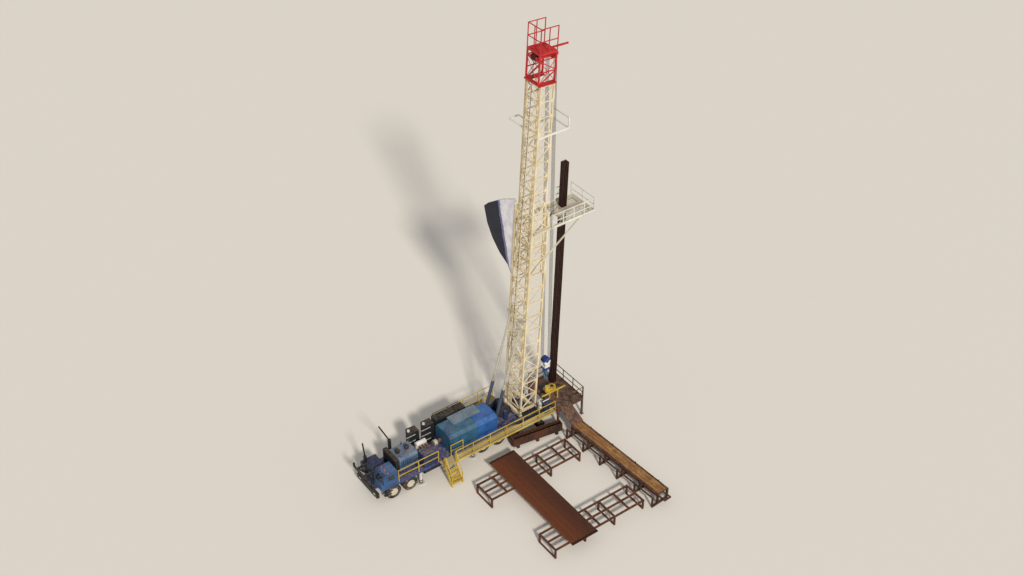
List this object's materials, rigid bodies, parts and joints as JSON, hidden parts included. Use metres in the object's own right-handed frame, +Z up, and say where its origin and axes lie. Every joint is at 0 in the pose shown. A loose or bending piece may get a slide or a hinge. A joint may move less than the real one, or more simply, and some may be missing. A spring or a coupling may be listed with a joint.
{
  "type": "carrier-mounted oil drilling rig",
  "caption": "Truck-mounted drilling rig at work: raised lattice mast with crown, board and hoisting block over a work floor, with catwalk and pipe racks.",
  "frame": {"origin": "on the rig's centreline at ground level, under the base beam that carries the tail jacks", "axes": "+Z up, -X towards the carrier's front bumper, -Y along the catwalk away from the work floor"},
  "size_m": [17.96, 16.8374, 30.0321],
  "materials": {
    "carrier_blue": "worn gloss paint",
    "cab_blue": "worn gloss paint",
    "housing_blue": "faded gloss paint",
    "guard_blue": "gloss paint",
    "canopy_blue": "faded dusty paint",
    "engine_paint": "oily paint",
    "dark_paint": "worn satin paint",
    "safety_yellow": "worn gloss paint",
    "jack_paint": "dusty paint",
    "mast_ivory": "weathered gloss paint",
    "ram_steel": "oiled rod",
    "crown_red": "weathered paint",
    "sheave_iron": "worn groove",
    "board_paint": "weathered paint",
    "rail_white": "weathered paint",
    "cloth": "sun-faded weave",
    "wire_rope": "greased rope",
    "block_blue": "worn paint",
    "hook_steel": "oily steel",
    "floor_brown": "muddy paint",
    "rusty_steel": "rust",
    "dark_pipe": "dark mill scale",
    "rusty_pipe": "rust",
    "cab_glass": "clear",
    "wheel": "dusty rubber"
  },
  "bodies": {
    "rig": {"carrier_frame": "carrier_blue", "front_bumper": "dark_paint", "mast_rest": "dark_paint", "cab": "cab_blue", "cab_glass": "cab_glass", "engine_hood": "cab_blue", "radiator": "dark_paint", "engine_cover": "engine_paint", "transmission": "floor_brown", "exhaust_stacks": "dark_paint", "deck_plates": "carrier_blue", "fuel_tanks": "dark_paint", "battery_box": "carrier_blue", "hydraulic_tanks": "dark_paint", "air_tanks": "rail_white", "drawworks_housing": "housing_blue", "drum_guard": "guard_blue", "drawworks_canopy": "canopy_blue", "cooler_panel": "dark_paint", "drawworks_drum": "carrier_blue", "tail_winches": "cab_blue", "walkways": "safety_yellow", "walkway_rails": "safety_yellow", "access_stairs": "safety_yellow", "leveling_jacks": "jack_paint", "base_beam": "dark_paint", "mast_base": "mast_ivory", "raising_rams": "ram_steel", "mast_lower_near": "mast_ivory", "mast_lower_far": "mast_ivory", "mast_lower_front": "mast_ivory", "mast_upper_near": "mast_ivory", "mast_upper_far": "mast_ivory", "mast_upper_front": "mast_ivory", "mast_ladder": "mast_ivory", "crown_frame": "crown_red", "crown_sheaves": "sheave_iron", "tubing_board": "board_paint", "board_rails": "rail_white", "rod_basket": "board_paint", "mast_cloth": "cloth", "mast_lines": "wire_rope", "drill_lines": "wire_rope", "work_floor": "floor_brown", "floor_legs": "floor_brown", "floor_rails": "floor_brown", "slip_table": "hook_steel", "power_tongs": "safety_yellow", "pipe_box": "rusty_steel", "racked_pipe": "dark_pipe", "catwalk": "rusty_steel", "pipe_racks": "rusty_steel", "laid_pipe": "rusty_pipe"},
    "block": {"travelling_block": "block_blue", "hook": "hook_steel"},
    "axle_1": {"wheelset_1": "wheel"},
    "axle_2": {"wheelset_2": "wheel"},
    "axle_3": {"wheelset_3": "wheel"},
    "axle_4": {"wheelset_4": "wheel"},
    "axle_5": {"wheelset_5": "wheel"}
  },
  "joints": [
    {"name": "block_hoist", "type": "slide", "parent": "rig", "child": "block", "axis": [0, 0, 1], "range_m": [0, 19.5], "deforming": ["drill_lines"]},
    {"name": "axle_1_spin", "type": "hinge", "parent": "rig", "child": "axle_1", "pos_m": [-11.9, 0, 0.55], "axis": [0, 1, 0], "continuous": true},
    {"name": "axle_2_spin", "type": "hinge", "parent": "rig", "child": "axle_2", "pos_m": [-10.6, 0, 0.55], "axis": [0, 1, 0], "continuous": true},
    {"name": "axle_3_spin", "type": "hinge", "parent": "rig", "child": "axle_3", "pos_m": [-4.7, 0, 0.55], "axis": [0, 1, 0], "continuous": true},
    {"name": "axle_4_spin", "type": "hinge", "parent": "rig", "child": "axle_4", "pos_m": [-3.4, 0, 0.55], "axis": [0, 1, 0], "continuous": true},
    {"name": "axle_5_spin", "type": "hinge", "parent": "rig", "child": "axle_5", "pos_m": [-2.1, 0, 0.55], "axis": [0, 1, 0], "continuous": true}
  ]
}
